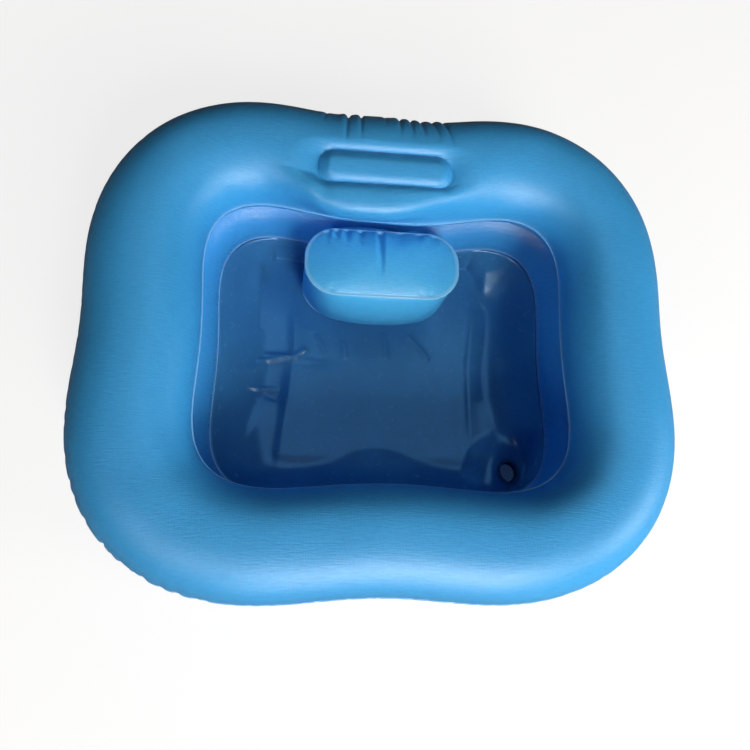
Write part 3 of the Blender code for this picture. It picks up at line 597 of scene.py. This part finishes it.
def blown(ob, held, pressure, cap):
    """Points of a closed film after air_frames of cloth under air pressure; none moves further than cap."""
    count = len(ob.data.vertices)
    before, after = np.empty(count * 3, np.float32), np.empty(count * 3, np.float32)
    ob.data.vertices.foreach_get("co", before)
    pins = ob.vertex_groups.new(name="held")
    pins.add(np.flatnonzero(held).tolist(), 1.0, "ADD")
    cloth = ob.modifiers.new("air", "CLOTH")
    cloth.settings.quality = 5
    cloth.settings.vertex_group_mass = "held"
    cloth.settings.use_pressure = True
    cloth.settings.uniform_pressure_force = pressure
    cloth.settings.effector_weights.gravity = 0.0
    cloth.collision_settings.use_collision = False
    cloth.point_cache.frame_start, cloth.point_cache.frame_end = 1, air_frames
    for step in range(1, air_frames + 1):
        bpy.context.scene.frame_set(step)
    done = ob.evaluated_get(bpy.context.evaluated_depsgraph_get()).to_mesh()
    done.vertices.foreach_get("co", after)
    ob.modifiers.remove(cloth)
    ob.vertex_groups.remove(pins)
    bpy.context.scene.frame_set(1)
    before, after = before.reshape(-1, 3).astype(float), after.reshape(-1, 3).astype(float)
    move = after - before
    size = np.linalg.norm(move, axis=1, keepdims=True) + 1e-12
    return before + move * np.minimum(1, cap / size)


t = np.linspace(0, 2 * math.pi, 4000, endpoint=False)
dense = round_box(*top_size, (0, 0), np.cos(t), np.sin(t))
walked = np.r_[0, np.cumsum(np.hypot(*(np.roll(dense, -1, 0) - dense).T))]
angle = np.interp((np.arange(steps) + 0.5) / steps * walked[-1], walked, np.r_[t, 2 * math.pi])
ux, uy = np.cos(angle), np.sin(angle)
base_line = round_box(0.182, 0.084, 0.0415, pillow_base, ux, uy)
base_line[:, 1] -= 0.79 * np.maximum(base_line[:, 1] - pillow_base[1], 0)
top_line = round_box(*top_size, pillow_top, ux, uy)
share = 1 - (1 - np.linspace(0, 1, 36)[:, None]) ** 1.5
band = base_line * (1 - share[..., None]) + top_line * share[..., None]
way = np.stack([outward(row) for row in band])
across = np.abs(band[..., 0] - pillow_top[0])
front = 0.0195 * np.clip(1 - (across / 0.082) ** 2.5, 0, 1) * np.clip(-way[..., 1], 0, 1)
back = 0.0105 * np.clip(1 - (across / 0.080) ** 3, 0, 1) * np.clip(way[..., 1], 0, 1)
swell = front * np.sin(math.pi * share) ** 0.7 + back * np.sin(math.pi * share**9) ** 0.8
swell = swell + 0.0015 * np.sin(math.pi * share)
band = band + way * swell[..., None]
band = np.concatenate([band, pillow_foot + pillow_height * share[..., None] * np.ones((steps, 1))], -1)

seam_level = np.full(steps, pillow_foot + pillow_height)
inset = np.array([0.975, 0.945, 0.91, 0.87, 0.82, 0.77, 0.71, 0.65,
                  0.58, 0.51, 0.44, 0.37, 0.30, 0.23, 0.16, 0.09])
crown = pillow_top + (top_line - pillow_top)[None] * inset[:, None, None]
dome = seam_level + 0.0008 + 0.0105 * (1 - inset[:, None] ** 2.4) * np.ones(steps)
crown = np.concatenate([crown, dome[..., None]], -1)
base = base_line - (base_line - pillow_base) * np.array([0.90, 0.6, 0.25])[:, None, None]
base = np.concatenate([base, np.full((3, steps, 1), 0.00135)], -1)
low_fin = fin_rows(base_line, np.full(steps, pillow_foot - 0.0002), 0.0020, 0.0005)
high_fin = fin_rows(top_line, seam_level, 0.0032, 0.0010)
rows = np.concatenate([base, low_fin, band[1:-1], high_fin, crown])
m = len(rows)
first_band = len(base) + len(low_fin)
first_fin = first_band + len(band) - 2
first_crown = first_fin + len(high_fin)
side_rows = first_crown - 2
i, j = np.meshgrid(np.arange(m - 1), np.arange(steps), indexing="ij")
after = (j + 1) % steps
sides = [i * steps + j, i * steps + after, (i + 1) * steps + after, (i + 1) * steps + j]
sides = np.stack(sides, -1).reshape(-1, 4)
j = np.arange(steps // 2 - 1)
cap = np.stack([j, j + 1, steps - 2 - j, steps - 1 - j], -1)
faces = np.vstack([cap[:, ::-1], sides, cap + (m - 1) * steps])
marks = np.zeros(m)
marks[len(base):first_band] = 1
marks[first_fin:first_crown] = 1
flat = rows[..., :2] + 0.0
round_band = np.broadcast_to(np.linspace(0, 0.45, steps), (side_rows, steps))
flat[:side_rows] = np.stack([round_band, rows[:side_rows, :, 2]], -1)
# The pillow's vinyl is painted lighter than the rim's: painted light on the pillow, which sits deep in the
# bowl where less light reaches.
pillow_vinyl = embossed_vinyl("pillow_vinyl", (0.080, 0.505, 0.920, 1.0), (0.064, 0.430, 0.850, 1.0), 0.34)
points = rows.reshape(-1, 3)
weld = np.repeat(marks, steps)
pillow = skin("pillow_films", points, faces, pillow_vinyl, flat.reshape(-1, 2), weld)
held = np.ones((m, steps), bool)
held[first_band:first_fin] = False
held[first_crown:] = False
points = blown(pillow, held.ravel(), 4.0, 0.006)
# The band lies flat under the valve's base, 12 mm round, and swells again beyond it
from_valve = np.hypot(points[:, 0] - 0.0175, points[:, 2] - 0.0990)
flat_at = 0.1378 + 0.8 * np.maximum(from_valve - 0.012, 0)
points[:, 1] = np.where(from_valve < 0.03, np.minimum(points[:, 1], flat_at), points[:, 1])
# Puckers: one long fold and shorter ones from the far seam, a tuck at each corner of the seam
x, y = points[:, 0] - pillow_top[0], points[:, 1] - pillow_top[1]
on_top = np.arange(len(points)) >= first_crown * steps
from_far = np.clip((0.0375 - y) / 0.077, 0, 1)


def press(px, deep, half, long, from_seam, beside):
    """Press deep * exp(-(distance/half)^2) into the top, from a seam as far as long.

    On both sides of the crease the film stands up by the share beside of its depth.
    """
    fade = np.clip(1 - from_seam / long, 0, 1) ** 0.8 * on_top
    points[:, 2] -= deep * np.exp(-(((x - px) / half) ** 2)) * fade
    for side in (-2.2, 2.2):
        points[:, 2] += deep * beside * np.exp(-(((x - px - side * half) / (1.3 * half)) ** 2)) * fade


for px, deep, half, long in [(-0.0030, 0.0046, 0.0030, 0.75), (-0.0260, 0.0022, 0.0034, 0.34),
                             (-0.0420, 0.0024, 0.0030, 0.30), (-0.0530, 0.0034, 0.0026, 0.22),
                             (0.0200, 0.0010, 0.0050, 0.24), (0.0420, 0.0014, 0.0036, 0.22),
                             (0.0600, 0.0016, 0.0034, 0.20), (-0.0640, 0.0022, 0.0026, 0.30)]:
    press(px, deep, half, long, from_far, 0.34)
for px, deep, half, long in [(0.0560, 0.0018, 0.0034, 0.20), (0.0440, 0.0012, 0.0030, 0.16),
                             (-0.0580, 0.0016, 0.0034, 0.16), (-0.0200, 0.0006, 0.0040, 0.14)]:
    press(px, deep, half, long, 1 - from_far, 0.0)
pillow.data.vertices.foreach_set("co", points.astype(np.float32).ravel())
pillow.data.update()
finer = pillow.modifiers.new("finer", "SUBSURF")
finer.levels = finer.render_levels = 1
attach(pillow, "basin")
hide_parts("pillow_base_panel", "pillow_side_band", "pillow_top_panel")


# Drain and valves: a moulded collar welded in the floor, an outlet cup with a hose tail below, a grey
# stopper, and three air valves of pale blue vinyl. They keep their CAD shapes and only get materials.
def moulded(name, colour, rough, grain):
    """Moulded vinyl or rubber: one colour with slight mottling and a fine matt grain."""
    mat = bpy.data.materials.new(name)
    mat.use_nodes = True
    tree = mat.node_tree
    shader = tree.nodes["Principled BSDF"]
    place = link(tree, "ShaderNodeTexCoord", {}).outputs["Object"]
    cloud = streaks(tree, place, (300, 300, 300), 3.0)
    dark = tuple(c * 0.82 for c in colour[:3]) + (1.0,)
    hue = link(tree, "ShaderNodeMix", {0: cloud, 6: dark, 7: colour}, data_type="RGBA").outputs[2]
    tree.links.new(hue, shader.inputs["Base Color"])
    gloss = link(tree, "ShaderNodeMapRange", {0: cloud, 1: 0.3, 2: 0.7, 3: rough - 0.05, 4: rough + 0.05})
    tree.links.new(gloss.outputs[0], shader.inputs["Roughness"])
    speck = streaks(tree, place, (2200, 2200, 2200), 1.0)
    bump = link(tree, "ShaderNodeBump", {"Height": speck, "Strength": grain, "Distance": 0.0002})
    tree.links.new(bump.outputs[0], shader.inputs["Normal"])
    return mat


ring_vinyl = moulded("ring_vinyl", (0.024, 0.125, 0.290, 1.0), 0.32, 0.08)
dark_fitting = moulded("dark_fitting", (0.030, 0.060, 0.110, 1.0), 0.35, 0.15)
grey_rubber = moulded("grey_rubber", (0.700, 0.730, 0.760, 1.0), 0.45, 0.35)
valve_vinyl = moulded("valve_vinyl", (0.150, 0.390, 0.640, 1.0), 0.30, 0.10)
drain_looks = {"drain_ring": ring_vinyl, "drain_outlet": dark_fitting, "drain_stopper": grey_rubber}
for node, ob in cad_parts.items():
    look = valve_vinyl if "valve" in node else drain_looks.get(node)
    if look is not None:
        ob.data.materials.clear()
        ob.data.materials.append(look)


# Studio: a white table that fades into the white room, soft windows on the near and right sides, three
# panes and a skylight that only add gloss, and the camera that stands steeply above the near left side.
def white_room(tree, strength):
    """White where the eye looks at it, straight or through glass, and the given plain light elsewhere."""
    rays = link(tree, "ShaderNodeLightPath", {}).outputs
    seen = link(tree, "ShaderNodeMath", {0: rays["Is Camera Ray"], 1: rays["Is Transmission Ray"]},
                operation="MAXIMUM").outputs[0]
    return link(tree, "ShaderNodeMapRange", {0: seen, 1: 0.0, 2: 1.0, 3: strength, 4: 1.0}).outputs[0]


full_white = (1.0, 1.0, 1.0, 1.0)
table_grey = (0.25, 0.25, 0.25, 1.0)
world = bpy.data.worlds.new("room")
bpy.context.scene.world = world
world.use_nodes = True
sky = world.node_tree.nodes["Background"]
sky.inputs["Color"].default_value = full_white
world.node_tree.links.new(white_room(world.node_tree, 0.02), sky.inputs["Strength"])

table_finish = bpy.data.materials.new("white_table")
table_finish.use_nodes = True
tree = table_finish.node_tree
tree.nodes.remove(tree.nodes["Principled BSDF"])
body = link(tree, "ShaderNodeBsdfDiffuse", {"Color": table_grey})
glow = link(tree, "ShaderNodeEmission", {"Color": full_white, "Strength": 0.80})
pale = link(tree, "ShaderNodeBsdfDiffuse", {"Color": table_grey})
lit = link(tree, "ShaderNodeAddShader", {0: pale.outputs[0], 1: glow.outputs[0]})
path = link(tree, "ShaderNodeLightPath", {})
place = link(tree, "ShaderNodeTexCoord", {}).outputs["Object"]
far = link(tree, "ShaderNodeVectorMath", {0: place}, operation="LENGTH").outputs["Value"]
fade = link(tree, "ShaderNodeMapRange", {0: far, 1: 1.0, 2: 4.5, 3: 0.0, 4: 1.0}).outputs[0]
white = link(tree, "ShaderNodeEmission", {"Color": full_white, "Strength": 1.0})
seen = link(tree, "ShaderNodeMixShader", {0: fade, 1: lit.outputs[0], 2: white.outputs[0]})
straight = path.outputs["Is Camera Ray"]
mixed = link(tree, "ShaderNodeMixShader", {0: straight, 1: body.outputs[0], 2: seen.outputs[0]})
tree.links.new(mixed.outputs[0], tree.nodes["Material Output"].inputs["Surface"])
corners = np.array([[-6, -6, -0.0002], [6, -6, -0.0002], [6, 6, -0.0002], [-6, 6, -0.0002]], float)
table = skin("table", corners, np.array([[0, 1, 2, 3]]), table_finish)


def lamp(name, azimuth, elevation, distance, size, power, colour):
    """Square soft lamp at a turn from the near side and a height above the table, aimed at the basin."""
    data = bpy.data.lights.new(name, "AREA")
    data.shape = "SQUARE"
    data.size = size
    data.energy = power
    data.color = colour
    ob = bpy.data.objects.new(name, data)
    a, e = math.radians(azimuth), math.radians(elevation)
    way = np.array([math.sin(a) * math.cos(e), -math.cos(a) * math.cos(e), math.sin(e)])
    ob.location = way * distance + (0, 0, 0.1)
    side = np.cross((0, 0, 1.0), way)
    side /= np.linalg.norm(side)
    turned = np.stack([side, np.cross(way, side), way], 1)
    ob.rotation_euler = Matrix(turned.tolist()).to_euler()
    bpy.context.scene.collection.objects.link(ob)
    return ob


lamp("window", 18, 46, 3.4, 0.6, 27, (1.0, 0.97, 0.90))
lamp("near window", 20, 30, 2.6, 0.9, 31, (1.0, 0.98, 0.91))
lamp("right window", 65, 27, 1.7, 0.6, 9.5, (1.0, 0.97, 0.91))
lamp("side window", 75, 14, 4.5, 1.5, 17, (1.0, 0.97, 0.91))
lamp("high window", 30, 72, 4.5, 0.8, 10, (1.0, 0.98, 0.91))
lamp("left window", -31, 30, 4.5, 1.0, 21, (1.0, 0.97, 0.91))
for pane in [("sill", 4, 11, 4.5, 1.6, 60, (1.0, 0.97, 0.98)),
             ("pane", 8, 33, 1.75, 0.35, 6.0, (1.0, 0.97, 0.98)),
             ("gleam", -36, 50, 4.5, 1.2, 40, (1.0, 0.97, 0.98)),
             ("skylight", 164, 68, 4.5, 3.2, 46, (0.38, 0.76, 1.0))]:
    lamp(*pane).visible_diffuse = False

view = bpy.data.cameras.new("camera")
view.sensor_width = 36.0
view.lens = 700.99386 / 750 * 36.0
view.clip_start = 0.02
eye = bpy.data.objects.new("camera", view)
tilt, pan, roll = 0.2831091, 0.1178748, -0.0369520
about_x = Matrix.Rotation(-tilt, 3, "X")
about_y = Matrix.Rotation(pan, 3, "Y")
about_z = Matrix.Rotation(roll, 3, "Z")
turned = (about_z @ about_y @ about_x).transposed().to_4x4()
eye.matrix_world = Matrix.Translation((-0.09793, -0.24639, 0.84520)) @ turned
bpy.context.scene.collection.objects.link(eye)
bpy.context.scene.camera = eye
bpy.context.scene.view_settings.view_transform = "Standard"
